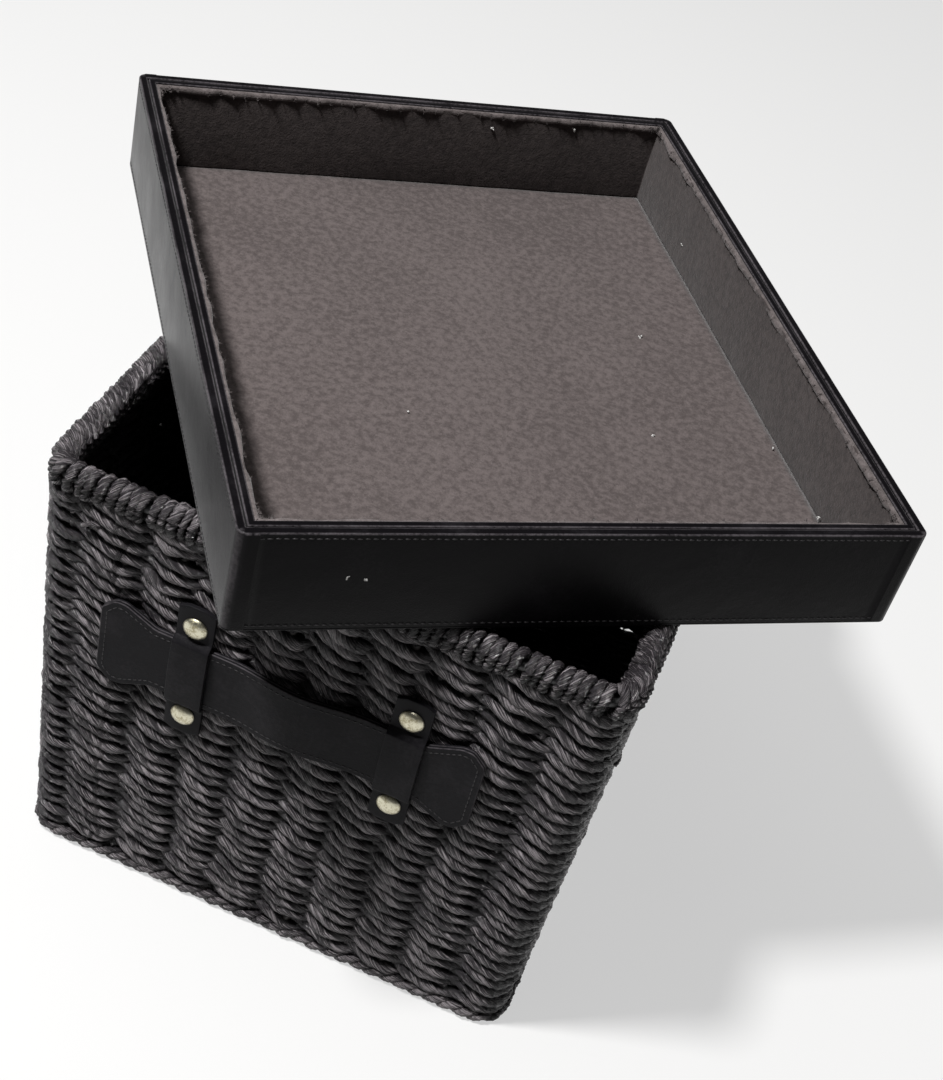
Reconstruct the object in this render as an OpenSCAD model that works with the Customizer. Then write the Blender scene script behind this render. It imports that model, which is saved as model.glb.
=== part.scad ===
// Woven stationery box with a loose leather-covered lid, lying hollow side up and turned on the rim.
// Millimetres. +Z is up, the front (a short side, with a strap handle) faces -Y.
// The origin is the middle of the basket's underside.

/* [Basket] */
// Height of the basket, from the table to the top of the rim
basket_h = 248; // [200:1:300]
// Width over the weave at the foot of the walls
base_w = 265; // [244:1:270]
// Depth over the weave at the foot of the walls
base_d = 315; // [288:1:320]
// Width over the weave at the top of the walls; the depth widens by the same share
top_w = 277; // [271:1:279]
// Thickness of the woven wall
wall_t = 11; // [9:0.5:13]
// Radius of the basket's upright corners at the foot, outside
corner_r = 16; // [15:1:24]

/* [Rim and border] */
// Radius of the wrapped roll round the rim
rim_r = 7; // [6:0.25:8]
// How much of the roll's underside is flat where it sits on the wall
rim_flat = 2.5; // [2:0.25:3]
// Diameter of the wire inside the rim
rim_wire_d = 5; // [3:0.5:5.5]
// Radius of the twisted border round the base
border_r = 4.5; // [4:0.25:5.5]
// How much the border is flattened above and below
border_flat = 0.5; // [0.4:0.1:0.8]
// How far the border stands proud of the wall's foot
border_proud = 1; // [0.5:0.25:2]
// Diameter of the wire round the base
base_wire_d = 4; // [3:0.5:4.5]

/* [Stakes] */
// Diameter of the upright stakes in the walls
stake_d = 4; // [3:0.25:4.5]
// Number of stakes in each short wall
stakes_short = 8; // [4:2:8]
// Number of stakes in each long wall
stakes_long = 10; // [6:2:10]
// Diameter of the four corner posts
post_d = 5; // [4:0.25:5.5]
// Diameter of the rods in the base
base_rod_d = 3.5; // [3:0.25:4]

/* [Handles] */
// Height of a handle's middle above the table
handle_z = 161; // [120:1:172]
// Middle of a handle to the right of the middle of its wall, seen from outside
handle_x = -3; // [-6:1:6]
// Distance between the middles of a handle's two keepers
keeper_gap = 104; // [96:1:108]
// Width of the strap between its wide ends
strap_w = 36.5; // [28:0.5:40]
// Thickness of the strap's outer leather
strap_t = 1.6; // [1.2:0.1:2]
// Thickness of the strap's backing leather
backing_t = 1.4; // [1:0.1:1.8]
// Length of each wide end, from its shoulder to its tip
tab_l = 27; // [24:1:34]
// Length of the slope from the shoulder to the wide end's full width
tab_slope_l = 15; // [8:0.5:16]
// Width of each wide end
tab_w = 51; // [46:0.5:56]
// Width of a wide end at its tip, between the cut corners
tip_w = 38; // [30:1:42]
// Radius of the strap's outside corners
strap_corner_r = 2; // [1:0.25:3]
// How far the strap slides each way before a shoulder meets a keeper
strap_slack = 5; // [2:0.5:6]
// Where the strap rests in its slack: 0 is the middle, -1 is as far left as it goes
strap_rest = -0.85; // [-0.9:0.05:0.9]

/* [Keepers and rivets] */
// Width of a keeper
keeper_w = 18; // [15:0.5:20]
// Length of a keeper, from end to end up the wall
keeper_l = 81; // [76:1:90]
// Thickness of the keeper's leather
keeper_t = 2.2; // [1.6:0.1:2.6]
// Radius of the keeper's corners
keeper_corner_r = 3; // [2:0.5:5]
// Distance between the two rivets of a keeper
rivet_gap = 57; // [56:0.5:60]
// Diameter of a rivet's domed head
rivet_head_d = 12; // [9:0.5:13]
// Height of a rivet's domed head
rivet_head_h = 2.8; // [2:0.2:3.4]
// Diameter of a rivet's post
rivet_post_d = 4; // [3:0.25:4.5]
// Diameter of the washer inside the basket
washer_d = 16; // [13:0.5:18]
// Thickness of the washer
washer_t = 1; // [0.8:0.1:1.4]
// Diameter of a rivet's inner head
rivet_back_d = 10; // [8:0.5:11]
// Height of a rivet's inner head
rivet_back_h = 1.8; // [1.4:0.2:2.4]

/* [Lid] */
// Width of the lid, outside
lid_w = 300; // [298:1:312]
// Depth of the lid, outside
lid_d = 354; // [352:1:366]
// Height of the lid
lid_h = 52; // [40:1:60]
// Radius of the lid's upright corners, outside
lid_r = 4; // [3:0.5:8]
// Thickness of the lid's top board
lid_board_t = 3; // [2:0.25:4]
// Thickness of the bent board inside the lid's sides
side_board_t = 2.5; // [2:0.25:3]
// Thickness of the boards that line the sides
liner_board_t = 1.8; // [1.4:0.1:2.2]
// Thickness of the covering leather
cover_t = 0.8; // [0.6:0.1:1]
// Width of the groove between the two leather lips
lip_groove = 0.6; // [0.4:0.1:0.8]
// Thickness of the suede lining
suede_t = 1.4; // [1:0.1:1.8]
// How far the lining stops below the lips
suede_drop = 1.5; // [1:0.25:3]

/* [Lid as it lies] */
// Turn of the lid against the basket, in degrees
lid_turn = 34; // [0:1:40]
// Middle of the lid to the right of the basket's middle
lid_x = 0; // [-10:1:10]
// Middle of the lid behind the basket's middle
lid_y = 12; // [0:1:20]
// Gap between the lid and the rim that it lies on
rest_gap = 0.3; // [0.2:0.1:0.4]

/* [Hidden] */
$fn = 64;

// Room for a cut to start and end outside the solid
over = 1;
// Gap round a rod in its channel, and at its ends
rod_gap = 0.1;
rod_end_gap = 0.3;
// Gap between the strap and what it slides on
slide_gap = 0.3;
// Gap round a rivet's post in its hole
post_gap = 0.15;
// Gap between the washers and the wall, at the highest washer's edge
washer_gap = 0.15;
// Turn of a rod's seam, which keeps it off the flat edges that the rod cuts
seam_turn = 37;
// Sides of a corner post's channel, and flat steps round a corner of the walls, for a full circle
channel_fn = 16;
corner_fn = 48;

// A smaller corner radius than this is left square
least_r = 0.3;

// Heights in the basket
border_h = 2 * (border_r - border_flat);
wall_foot = border_h;
rim_rise = rim_r - rim_flat;
wall_top = basket_h - rim_r - rim_rise;
wall_h = wall_top - wall_foot;

// How much the basket widens to its top, and the lean that this gives the short walls
flare = top_w / base_w;
top_d = base_d * flare;
lean = atan((top_d - base_d) / 2 / wall_h);

// Middle line of the wall at its foot
mid_base_w = base_w - wall_t;
mid_base_d = base_d - wall_t;
mid_corner_r = corner_r - wall_t / 2;

// Middle line of the rim, to a tenth of a millimetre so that its bars and bends meet
rim_w = tenth(mid_base_w * flare);
rim_d = tenth(mid_base_d * flare);
rim_corner_r = tenth(mid_corner_r * flare);

// The corner posts stand on that line too, in the middle of its round corners
post_inset = mid_corner_r * (1 - cos(45));
post_x = mid_base_w / 2 - post_inset;
post_y = mid_base_d / 2 - post_inset;

// Middle line of the base border, and the edge of the base that it goes round
border_w = base_w + 2 * (border_proud - border_r);
border_d = base_d + 2 * (border_proud - border_r);
border_corner_r = corner_r + border_proud - border_r;
base_inset = border_r - border_flat;
floor_w = border_w - 2 * base_inset;
floor_d = border_d - 2 * base_inset;
floor_corner_r = border_corner_r - base_inset;

// Stakes stand so that the rivets pass midway between two of them
stake_pitch = keeper_gap / 4;
short_xs = [for (i = [0 : stakes_short - 1]) (i - (stakes_short - 1) / 2) * stake_pitch];
long_ys = [for (i = [0 : stakes_long - 1]) (i - (stakes_long - 1) / 2) * stake_pitch];

// Strap and keeper, in a frame with X along the wall, Y up it and Z out of it. The strap's
// outermost corners are blunted square to the line that halves them.
keeper_x = keeper_gap / 2;
shoulder_x = keeper_x + keeper_w / 2 + strap_slack;
strap_half = shoulder_x + tab_l;
tip_slope = (tab_w - tip_w) / 2;
tip_cut_turn = 22.5;
strap_top = slide_gap + backing_t + strap_t;
strap_x = strap_rest * (strap_slack - slide_gap);
bridge_in = strap_top + slide_gap;
bridge_half = strap_w / 2 + 2 * slide_gap;
bridge_foot = bridge_half + bridge_in / 2;
face_d = base_d * flare_at(handle_z);

// The wall thickens upward, so the washers are set by its thickness at their highest edge
washers_top = handle_z + rivet_gap / 2 + washer_d / 2;
wall_here = wall_t * flare_at(washers_top);
back_z = -wall_here - washer_gap - washer_t;

// Places in the lid, counted inward from its outside face
in_cover = cover_t;
in_side = in_cover + side_board_t;
in_lip = in_side + cover_t;
in_liner = in_lip + lip_groove;
in_liner_board = in_liner + cover_t;
in_liner_back = in_liner_board + liner_board_t;
in_liner_face = in_liner_back + cover_t;
in_suede = in_liner_face + suede_t;
board_top = cover_t + lid_board_t;
mitre = 2 * in_suede;

weave_colour = [0.07, 0.065, 0.065];
leather_colour = [0.045, 0.045, 0.05];
suede_colour = [0.3, 0.27, 0.26];
wire_colour = [0.35, 0.35, 0.36];
board_colour = [0.55, 0.5, 0.44];
rivet_colour = [0.75, 0.72, 0.64];

// A flat rectangle with round corners, or with square ones where no radius is left
module plate(w, d, r) {
  if (r > least_r) {
    square([w - 2 * r, d], center = true);
    square([w, d - 2 * r], center = true);
    for (sx = [-1, 1], sy = [-1, 1]) {
      translate([sx * (w / 2 - r), sy * (d / 2 - r)]) circle(r = r);
    }
  } else {
    square([w, d], center = true);
  }
}

// A round bar bent into a closed rectangle with round corners; w and d are its middle line's
module bent_bar(w, d, r, bar_r) {
  for (s = [-1, 1]) {
    translate([-(w / 2 - r), s * d / 2, 0]) rotate([0, 90, 0]) cylinder(h = w - 2 * r, r = bar_r);
    translate([s * w / 2, -(d / 2 - r), 0]) rotate([-90, 0, 0]) cylinder(h = d - 2 * r, r = bar_r);
  }
  for (q = [0 : 3]) {
    sx = q == 0 || q == 3 ? 1 : -1;
    sy = q < 2 ? 1 : -1;
    translate([sx * (w / 2 - r), sy * (d / 2 - r), 0])
      rotate([0, 0, 90 * q])
        rotate_extrude(angle = 90)
          translate([r, 0]) circle(r = bar_r);
  }
}

// A straight rod from one point to another
module rod(a, b, r) {
  v = b - a;
  translate(a)
    rotate([0, acos(v[2] / norm(v)), atan2(v[1], v[0])])
      rotate([0, 0, seam_turn]) cylinder(h = norm(v), r = r);
}

function tenth(x) = round(x * 10) / 10;

// How much wider the basket is at height z than at the foot of its walls
function flare_at(z) = 1 + (flare - 1) * (z - wall_foot) / wall_h;

// The two ends of an upright in the wall, for its place on the middle line at the foot
function foot_of(x, y, e) = [x, y, wall_foot + e];
function head_of(x, y, e) = [x * flare, y * flare, wall_top - e];

module upright(x, y, r, e) {
  rod(foot_of(x, y, e), head_of(x, y, e), r);
}

module short_wall_uprights(s, r, e) {
  for (x = short_xs) upright(x, s * mid_base_d / 2, r, e);
}

module long_wall_uprights(s, r, e) {
  for (y = long_ys) upright(s * mid_base_w / 2, y, r, e);
}

module corner_uprights(r, e) {
  for (sx = [-1, 1], sy = [-1, 1]) upright(sx * post_x, sy * post_y, r, e);
}

// Stands its children on the outside of a short wall: s is -1 at the front and 1 at the back
module on_wall(s) {
  rotate([0, 0, s < 0 ? 0 : 180])
    translate([handle_x, -face_d / 2, handle_z])
      rotate([90 + lean, 0, 0])
        children();
}

module at_rivets() {
  for (sx = [-1, 1], sy = [-1, 1]) {
    translate([sx * keeper_x, sy * rivet_gap / 2, 0]) children();
  }
}

module rivet_holes(depth) {
  at_rivets() {
    translate([0, 0, -depth]) cylinder(h = depth + keeper_t + over, d = rivet_post_d + 2 * post_gap);
  }
}

// Basket

// Where the corner posts stand at the foot of the walls
module post_marks() {
  for (sx = [-1, 1], sy = [-1, 1]) {
    translate([sx * post_x, sy * post_y]) circle(d = post_d + 4 * rod_gap);
  }
}

module woven_walls() {
  color(weave_colour) difference() {
    translate([0, 0, wall_foot]) linear_extrude(height = wall_h, scale = flare, slices = 1) difference() {
      plate(base_w, base_d, corner_r, $fn = corner_fn);
      plate(base_w - 2 * wall_t, base_d - 2 * wall_t, corner_r - wall_t, $fn = corner_fn);
      post_marks($fn = channel_fn);
    }
    for (s = [-1, 1]) {
      short_wall_uprights(s, stake_d / 2 + rod_gap, -over);
      long_wall_uprights(s, stake_d / 2 + rod_gap, -over);
      on_wall(s) rivet_holes(wall_here + 2 * over);
    }
  }
}

module base_rod_set(l, r) {
  for (x = short_xs) {
    translate([x, -l / 2, border_h / 2]) rotate([-90, 0, 0]) cylinder(h = l, r = r);
  }
}

module base_wire_bar(gap) {
  translate([0, 0, border_h / 2])
    bent_bar(floor_w, floor_d, floor_corner_r, base_wire_d / 2 + gap);
}

module woven_base() {
  color(weave_colour) difference() {
    linear_extrude(height = border_h) plate(floor_w, floor_d, floor_corner_r);
    base_wire_bar(rod_gap);
    base_rod_set(floor_d + 2 * over, base_rod_d / 2 + rod_gap);
  }
}

module base_border() {
  color(weave_colour) difference() {
    intersection() {
      translate([0, 0, border_h / 2]) bent_bar(border_w, border_d, border_corner_r, border_r);
      translate([-base_w, -base_d, 0]) cube([2 * base_w, 2 * base_d, border_h]);
    }
    translate([0, 0, -over])
      linear_extrude(height = border_h + 2 * over) plate(floor_w, floor_d, floor_corner_r);
    base_wire_bar(rod_gap);
  }
}

module rim_bar(bar_r, z) {
  translate([0, 0, z]) bent_bar(rim_w, rim_d, rim_corner_r, bar_r);
}

module rim_wrap() {
  wire_z = wall_top + rim_wire_d / 2 + rod_gap;
  slot = rim_wire_d + 2 * rod_gap;
  color(weave_colour) difference() {
    rim_bar(rim_r, wall_top + rim_rise);
    translate([-top_w, -top_d, wall_top - 2 * rim_r]) cube([2 * top_w, 2 * top_d, 2 * rim_r]);
    rim_bar(slot / 2, wire_z);
    translate([0, 0, wall_top - over]) linear_extrude(height = wire_z - wall_top + over) difference() {
      plate(rim_w + slot, rim_d + slot, rim_corner_r + slot / 2);
      plate(rim_w - slot, rim_d - slot, rim_corner_r - slot / 2);
    }
  }
}

module rim_wire() {
  color(wire_colour) rim_bar(rim_wire_d / 2, wall_top + rim_wire_d / 2 + rod_gap);
}

module base_wire() {
  color(wire_colour) base_wire_bar(0);
}

module corner_posts() {
  color(wire_colour) corner_uprights(post_d / 2, rod_end_gap);
}

module stakes_short_wall(s) {
  color(weave_colour) short_wall_uprights(s, stake_d / 2, rod_end_gap);
}

module stakes_long_wall(s) {
  color(weave_colour) long_wall_uprights(s, stake_d / 2, rod_end_gap);
}

module base_rods() {
  color(weave_colour) base_rod_set(floor_d - base_wire_d - 2 * rod_end_gap, base_rod_d / 2);
}

// Handles

// Outline of the strap: narrow in the middle, with a wide end past each keeper
module strap_outline() {
  half = [
    [shoulder_x, strap_w / 2],
    [shoulder_x + tab_slope_l, tab_w / 2],
    [strap_half - tip_slope, tab_w / 2],
    [strap_half, tip_w / 2]
  ];
  right = concat(half, [for (i = [3 : -1 : 0]) [half[i][0], -half[i][1]]]);
  left = [for (p = right) [-p[0], -p[1]]];
  difference() {
    polygon(concat(right, left));
    for (sx = [-1, 1], sy = [-1, 1]) {
      translate([sx * strap_half, sy * tip_w / 2]) rotate([0, 0, sx * sy * tip_cut_turn])
        square([strap_corner_r / 2, 2 * strap_corner_r], center = true);
    }
  }
}

module strap(s) {
  color(leather_colour) on_wall(s) translate([strap_x, 0, slide_gap + backing_t])
    linear_extrude(height = strap_t) strap_outline();
}

module strap_backing(s) {
  color(leather_colour) on_wall(s) translate([strap_x, 0, slide_gap])
    linear_extrude(height = backing_t) strap_outline();
}

// A keeper is a band that bridges the strap; sx is -1 for the left one, seen from outside
module keeper(s, sx) {
  out = bridge_in + keeper_t;
  half = [
    [keeper_l / 2, 0],
    [keeper_l / 2, keeper_t],
    [bridge_foot + keeper_t / 2, keeper_t],
    [bridge_half + keeper_t / 2, out]
  ];
  under = [[bridge_half, bridge_in], [bridge_foot, 0]];
  profile = concat(
    half, [for (i = [3 : -1 : 0]) [-half[i][0], half[i][1]]],
    [[-under[1][0], 0], [-under[0][0], bridge_in]], under
  );
  color(leather_colour) on_wall(s) difference() {
    intersection() {
      translate([sx * keeper_x - keeper_w / 2, 0, 0])
        rotate([90, 0, 90]) linear_extrude(height = keeper_w) polygon(profile);
      translate([sx * keeper_x, 0, -over])
        linear_extrude(height = out + 2 * over) plate(keeper_w, keeper_l, keeper_corner_r);
    }
    rivet_holes(over);
  }
}

// A low dome that stands on z = 0
module dome(d, h) {
  ball_r = (d * d / 4 + h * h) / (2 * h);
  intersection() {
    translate([0, 0, h - ball_r]) sphere(r = ball_r);
    cylinder(h = h + over, d = d);
  }
}

module rivet_heads(s) {
  color(rivet_colour) on_wall(s) at_rivets() translate([0, 0, keeper_t]) dome(rivet_head_d, rivet_head_h);
}

module rivet_posts(s) {
  color(rivet_colour) on_wall(s) at_rivets() translate([0, 0, back_z]) {
    cylinder(h = keeper_t - back_z, d = rivet_post_d);
    rotate([180, 0, 0]) dome(rivet_back_d, rivet_back_h);
  }
}

module rivet_washers(s) {
  color(rivet_colour) on_wall(s) at_rivets() translate([0, 0, back_z])
    difference() {
      cylinder(h = washer_t, d = washer_d);
      translate([0, 0, -over]) cylinder(h = washer_t + 2 * over, d = rivet_post_d + 2 * post_gap);
    }
}

// Lid, made with its hollow up and its outer top face at z = 0

module as_it_lies() {
  translate([lid_x, lid_y, basket_h + rest_gap]) rotate([0, 0, lid_turn]) children();
}

// The lid's outline, a distance i inward from its outside
module lid_plate(i) {
  plate(lid_w - 2 * i, lid_d - 2 * i, max(lid_r - i, 0));
}

// A ring from i0 to i1 inward, between two heights
module lid_ring(i0, i1, z0, z1) {
  translate([0, 0, z0]) linear_extrude(height = z1 - z0) difference() {
    lid_plate(i0);
    lid_plate(i1);
  }
}

// The share of the lid's sides that belongs to one side, cut off at the mitres
module side_share(side) {
  w = lid_w / 2;
  d = lid_d / 2;
  across = side == "front" || side == "back";
  s = side == "front" || side == "left" ? -1 : 1;
  points = across
    ? [[-w, s * d], [w, s * d], [w - mitre, s * (d - mitre)], [-w + mitre, s * (d - mitre)]]
    : [[s * w, -d], [s * w, d], [s * (w - mitre), d - mitre], [s * (w - mitre), -d + mitre]];
  intersection() {
    children();
    translate([0, 0, -over]) linear_extrude(height = lid_h + 2 * over) polygon(points);
  }
}

module lid_cover_panel() {
  color(leather_colour) as_it_lies() linear_extrude(height = cover_t) lid_plate(0);
}

module lid_top_board() {
  color(board_colour) as_it_lies() translate([0, 0, cover_t])
    linear_extrude(height = lid_board_t) lid_plate(in_cover);
}

module lid_side_frame() {
  color(board_colour) as_it_lies() lid_ring(in_cover, in_side, board_top, lid_h - cover_t);
}

// Outer leather of one side: up the outside, over the board's edge and down its inner face
module lid_cover(side) {
  color(leather_colour) as_it_lies() side_share(side) {
    lid_ring(0, in_cover, cover_t, lid_h);
    lid_ring(in_cover, in_side, lid_h - cover_t, lid_h);
    lid_ring(in_side, in_lip, board_top, lid_h);
  }
}

module lid_liner_board(side) {
  color(board_colour) as_it_lies() side_share(side)
    lid_ring(in_liner_board, in_liner_back, board_top, lid_h - cover_t);
}

// Leather round the lining board of one side: it makes the inner lip
module lid_liner_cover(side) {
  color(leather_colour) as_it_lies() side_share(side) {
    lid_ring(in_liner, in_liner_board, board_top, lid_h);
    lid_ring(in_liner_board, in_liner_back, lid_h - cover_t, lid_h);
    lid_ring(in_liner_back, in_liner_face, board_top, lid_h);
  }
}

module lid_lining_floor() {
  color(suede_colour) as_it_lies() translate([0, 0, board_top])
    linear_extrude(height = suede_t) lid_plate(in_liner_face);
}

module lid_lining_walls() {
  color(suede_colour) as_it_lies()
    lid_ring(in_liner_face, in_suede, board_top + suede_t, lid_h - suede_drop);
}

woven_walls();
woven_base();
rim_wrap();
base_border();
rim_wire();
base_wire();
corner_posts();
stakes_short_wall(-1);  // stakes_front
stakes_short_wall(1);  // stakes_back
stakes_long_wall(-1);  // stakes_left
stakes_long_wall(1);  // stakes_right
base_rods();
keeper(-1, -1);  // keeper_front_left
keeper(-1, 1);  // keeper_front_right
keeper(1, -1);  // keeper_back_left
keeper(1, 1);  // keeper_back_right
rivet_heads(-1);  // rivet_heads_front
rivet_heads(1);  // rivet_heads_back
rivet_posts(-1);  // rivet_posts_front
rivet_posts(1);  // rivet_posts_back
rivet_washers(-1);  // rivet_washers_front
rivet_washers(1);  // rivet_washers_back
strap(-1);  // strap_front
strap_backing(-1);  // strap_backing_front
strap(1);  // strap_back
strap_backing(1);  // strap_backing_back
lid_cover_panel();
lid_top_board();
lid_side_frame();
lid_cover("front");  // lid_cover_front
lid_cover("back");  // lid_cover_back
lid_cover("left");  // lid_cover_left
lid_cover("right");  // lid_cover_right
lid_liner_board("front");  // lid_liner_board_front
lid_liner_board("back");  // lid_liner_board_back
lid_liner_board("left");  // lid_liner_board_left
lid_liner_board("right");  // lid_liner_board_right
lid_liner_cover("front");  // lid_liner_cover_front
lid_liner_cover("back");  // lid_liner_cover_back
lid_liner_cover("left");  // lid_liner_cover_left
lid_liner_cover("right");  // lid_liner_cover_right
lid_lining_floor();
lid_lining_walls();
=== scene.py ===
# %% [markdown]
# A woven stationery box, dressed in Blender.
# The box is a black basket of twisted paper cord with a strap handle at each end. Its lid, leather
# outside and suede inside, lies on it upside down and turned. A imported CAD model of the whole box
# gives every place and size, so each piece below is made around it and rides on one of its bodies.

import math

import bmesh
import bpy
import numpy as np
from mathutils import Matrix, Vector, noise


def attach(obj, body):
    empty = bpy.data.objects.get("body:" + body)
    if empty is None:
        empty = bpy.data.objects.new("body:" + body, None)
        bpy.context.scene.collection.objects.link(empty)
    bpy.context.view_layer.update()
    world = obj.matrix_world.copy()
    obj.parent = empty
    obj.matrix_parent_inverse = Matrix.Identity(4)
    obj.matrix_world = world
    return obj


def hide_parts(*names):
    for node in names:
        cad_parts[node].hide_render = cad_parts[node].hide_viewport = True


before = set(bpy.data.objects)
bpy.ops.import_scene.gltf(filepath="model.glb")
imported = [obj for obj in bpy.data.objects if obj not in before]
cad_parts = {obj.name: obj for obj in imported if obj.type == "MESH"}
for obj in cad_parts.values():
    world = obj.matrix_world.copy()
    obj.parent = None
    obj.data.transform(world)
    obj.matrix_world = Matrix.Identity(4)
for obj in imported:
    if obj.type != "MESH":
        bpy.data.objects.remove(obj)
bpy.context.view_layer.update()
MM = 0.001
chance = np.random.default_rng(27)

# %% [markdown]
# The sizes that the pieces share are those of the CAD source, in millimetres. The basket widens
# upward, so one function says how much wider it is at a height, for anything on its walls. The
# lid has its own frame, with its hollow up and its outer top at height 0.

# %% Sizes of the box
BASE_W, BASE_D, TOP_W = 265, 315, 277
WALL_T, CORNER_R = 11, 16
WALL_FOOT, WALL_TOP, BASKET_H = 8, 236.5, 248
STAKE_PITCH, STAKES_SHORT, STAKES_LONG = 26, 8, 10
WALL_H = WALL_TOP - WALL_FOOT
FLARE = TOP_W / BASE_W
HANDLE_X, HANDLE_Z = -3, 161
LID_W, LID_D, LID_H, LID_R = 300, 354, 52, 4
LID_TURN, LID_Y, REST_GAP = 34, 12, 0.3


def flare_at(z):
    """How much wider the basket is at height z than at the foot of its walls."""
    return 1 + (FLARE - 1) * (z - WALL_FOOT) / WALL_H


LEAN = math.atan(BASE_D * (FLARE - 1) / 2 / WALL_H)
LID_FRAME = (
    Matrix.Translation((0, LID_Y * MM, (BASKET_H + REST_GAP) * MM))
    @ Matrix.Rotation(math.radians(LID_TURN), 4, "Z")
    @ Matrix.Scale(MM, 4)
)


ENDS = ((-1, "front"), (1, "back"))


def wall_frame(side):
    """Stands a handle on a short wall: side is -1 at the front and 1 at the back."""
    return (
        Matrix.Rotation(0 if side < 0 else math.pi, 4, "Z")
        @ Matrix.Translation((HANDLE_X * MM, -BASE_D * flare_at(HANDLE_Z) / 2 * MM, HANDLE_Z * MM))
        @ Matrix.Rotation(math.pi / 2 + LEAN, 4, "X")
        @ Matrix.Scale(MM, 4)
    )


# %% [markdown]
# The camera stands where the photographer stood: above the front, a little to the right, and
# rolled. Its place was fitted to the edges of the lid and the basket. The matrix is written from
# three angles instead of a Track To constraint, because a constraint has no roll.

# %% Camera
CAMERA_AT = (0.139556, -0.695183, 0.738684)
AZIMUTH, ELEVATION, ROLL = 0.1644, 0.6889, 0.2856
LENS = 59.04


def show(thing):
    bpy.context.scene.collection.objects.link(thing)


camera = bpy.data.objects.new("camera", bpy.data.cameras.new("camera"))
show(camera)
camera.data.lens = LENS
camera.data.sensor_width = 36
camera.matrix_world = (
    Matrix.Translation(CAMERA_AT)
    @ Matrix.Rotation(AZIMUTH, 4, "Z")
    @ Matrix.Rotation(math.pi / 2 - ELEVATION, 4, "X")
    @ Matrix.Rotation(ROLL, 4, "Z")
)
bpy.context.scene.camera = camera
print("camera looks along", [round(x, 3) for x in camera.matrix_world.to_3x3() @ Vector((0, 0, -1))])

# %% [markdown]
# A material is a small tree of nodes. Shader maths stays readable as Python expressions: the class
# below wraps a socket, and each sign between two of them adds one Math node. All other nodes come
# from one method, which sets a node's options and then fills its sockets.

# %% Shader sockets that Python's signs work on
class Wire:
    """An output socket; each + - or * on it adds a Math node."""

    def __init__(self, finish, socket):
        self.finish, self.socket = finish, socket

    def __add__(self, other):
        return self.finish.maths("ADD", self, other)

    __radd__ = __add__

    def __sub__(self, other):
        return self.finish.maths("SUBTRACT", self, other)

    def __rsub__(self, other):
        return self.finish.maths("SUBTRACT", other, self)

    def __mul__(self, other):
        return self.finish.maths("MULTIPLY", self, other)

    __rmul__ = __mul__

    def out(self, name):
        """Another output of the same node."""
        return Wire(self.finish, self.socket.node.outputs[name])


class Finish:
    """A material in the making: its node tree, and its Principled shader."""

    def __init__(self, name, **fixed):
        self.material = bpy.data.materials.new(name)
        self.material.use_nodes = True
        self.tree = self.material.node_tree
        self.shader = self.tree.nodes["Principled BSDF"]
        self.set(self.shader, fixed)

    def set(self, node, values):
        """Fills sockets with wires, values or colours."""
        for key, value in values.items():
            socket = node.inputs[key]
            if isinstance(value, Wire):
                self.tree.links.new(value.socket, socket)
            else:
                socket.default_value = (*value, 1) if socket.type == "RGBA" else value

    def node(self, kind, options=None, values=None):
        """Adds a node: its options first, then the values or wires of its sockets."""
        node = self.tree.nodes.new(kind)
        for key, value in (options or {}).items():
            setattr(node, key, value)
        self.set(node, values or {})
        return Wire(self, next(s for s in node.outputs if s.enabled))

    def maths(self, operation, *values):
        return self.node("ShaderNodeMath", {"operation": operation}, dict(enumerate(values)))

    def mix(self, share, first, second):
        """A colour between two colours."""
        return self.node("ShaderNodeMix", {"data_type": "RGBA"}, {0: share, 6: first, 7: second})

    def between(self, value, low, high):
        """0 below low, 1 above high, and a smooth step from one to the other."""
        step = {"interpolation_type": "SMOOTHSTEP"}
        return self.node("ShaderNodeMapRange", step, {0: value, 1: low, 2: high})

    def place(self):
        """The point on the object, in metres."""
        return self.node("ShaderNodeTexCoord").out("Object")

    def speckle(self, vector, scale, detail=3, rough=0.55):
        values = {"Vector": vector, "Scale": scale, "Detail": detail, "Roughness": rough}
        return self.node("ShaderNodeTexNoise", None, values)

    def reach_from_basket(self, here):
        """How far out a point is, as a share of the wall's middle line at its height."""
        parts = self.node("ShaderNodeSeparateXYZ", None, {0: here})
        x, y, z = parts.out("X"), parts.out("Y"), parts.out("Z")
        wide = 1 + (z - WALL_FOOT * MM) * ((FLARE - 1) / (WALL_H * MM))
        reach = [self.maths("ABSOLUTE", part) * (2 / (size * MM))
                 for part, size in ((x, BASE_W - WALL_T), (y, BASE_D - WALL_T))]
        return self.maths("DIVIDE", self.maths("MAXIMUM", *reach), wide)

    def relief(self, height, distance, strength=1, under=None):
        values = {"Height": height, "Distance": distance, "Strength": strength}
        if under is not None:
            values["Normal"] = under
        return self.node("ShaderNodeBump", None, values)

    def done(self, **wires):
        self.set(self.shader, {key.replace("_", " "): value for key, value in wires.items()})
        return self.material


print("shader helpers ready")
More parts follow.
